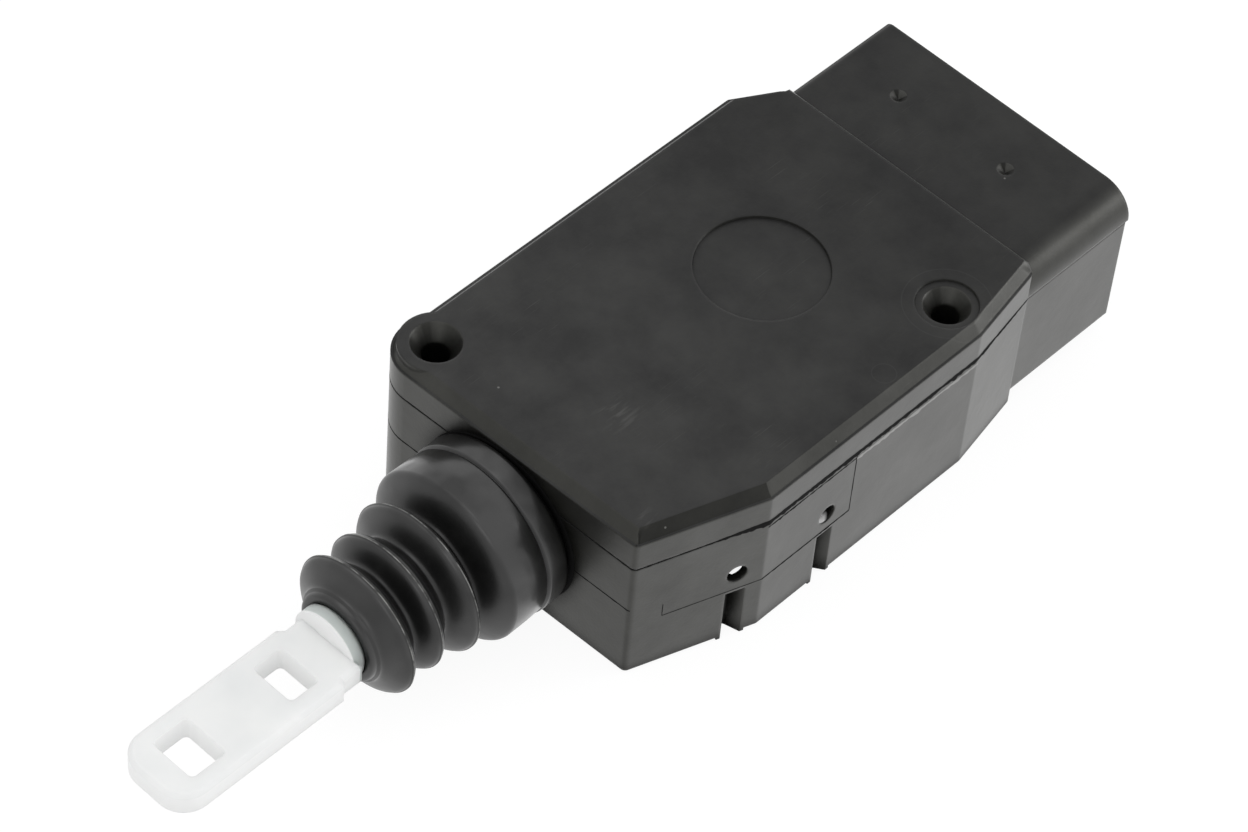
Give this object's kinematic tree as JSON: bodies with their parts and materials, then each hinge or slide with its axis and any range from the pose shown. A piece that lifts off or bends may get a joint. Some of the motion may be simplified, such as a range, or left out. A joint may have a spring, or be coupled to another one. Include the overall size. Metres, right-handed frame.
{
  "type": "door latch actuator",
  "caption": "Electric actuator with a flat charcoal housing, a socket at one end, and a slotted white plunger that slides out of a rubber bellows at the other.",
  "frame": {"origin": "centre of the housing's underside, midway along the housing without its socket and midway between its long sides", "axes": "+X along the plunger from its slotted end towards the plug socket, +Y across the flat housing towards the side without the side holes, +Z from the underside to the countersunk cover"},
  "size_m": [0.1613, 0.0547, 0.029],
  "materials": {
    "housing_plastic": "fine moulded texture, glass-filled, charcoal",
    "bellows_rubber": "satin black",
    "bush_plastic": "smooth natural acetal",
    "plunger_plastic": "smooth, slightly translucent natural white",
    "buffer_rubber": "soft matte",
    "motor_steel": "zinc-plated, satin",
    "motor_plastic": "moulded",
    "bearing_bronze": "sintered",
    "magnet_ferrite": "ground ferrite, dark grey",
    "bright_steel": "ground",
    "core_steel": "stacked laminations",
    "winding_copper": "enamelled copper wire",
    "commutator_copper": "turned copper",
    "brush_carbon": "pressed carbon",
    "pinion_brass": "hobbed",
    "gear_plastic": "smooth natural acetal",
    "board_laminate": "paper laminate",
    "contact_brass": "stamped strip",
    "carrier_plastic": "moulded",
    "terminal_brass": "tinned",
    "thermistor_coat": "dipped resin coat"
  },
  "bodies": {
    "housing": {"housing_base": "housing_plastic", "housing_cover": "housing_plastic", "bellows": "bellows_rubber", "guide_bush": "bush_plastic", "front_buffer": "buffer_rubber", "rear_buffers": "buffer_rubber", "motor_can": "motor_steel", "motor_end_cap": "motor_plastic", "motor_bearings": "bearing_bronze", "motor_magnets": "magnet_ferrite", "brushes": "brush_carbon", "intermediate_axle": "bright_steel", "output_axle": "bright_steel", "contact_board": "board_laminate", "contact_tracks": "contact_brass", "terminal_carrier": "carrier_plastic", "terminal_blades": "terminal_brass", "motor_straps": "contact_brass", "switch_leads": "contact_brass", "thermistor": "thermistor_coat"},
    "plunger": {"plunger": "plunger_plastic", "contact_wiper": "contact_brass"},
    "intermediate": {"intermediate_gear": "gear_plastic"},
    "output": {"output_gear": "gear_plastic"},
    "rotor": {"motor_shaft": "bright_steel", "armature_core": "core_steel", "armature_windings": "winding_copper", "commutator": "commutator_copper", "motor_pinion": "pinion_brass"}
  },
  "joints": [
    {"name": "rotor_spin", "type": "hinge", "parent": "housing", "child": "rotor", "pos_m": [0.0243, 0, 0.0145], "axis": [0, 1, 0], "range_deg": [-1250.2, 750.2]},
    {"name": "intermediate_spin", "type": "hinge", "parent": "housing", "child": "intermediate", "pos_m": [0.0105, 0, 0.0145], "axis": [0, 1, 0], "range_deg": [-208.4, 347.3]},
    {"name": "output_spin", "type": "hinge", "parent": "housing", "child": "output", "pos_m": [-0.0036, 0, 0.0145], "axis": [0, 1, 0], "range_deg": [-106.15, 63.7]},
    {"name": "plunger_slide", "type": "slide", "parent": "housing", "child": "plunger", "axis": [-1, 0, 0], "range_m": [-0.01, 0.006], "deforming": ["bellows"]}
  ],
  "couplings": [
    {"joint": "output_spin", "follows": "plunger_slide", "rad_per_m": 185.19},
    {"joint": "intermediate_spin", "follows": "plunger_slide", "rad_per_m": -606.06},
    {"joint": "rotor_spin", "follows": "plunger_slide", "rad_per_m": 2181.8}
  ]
}
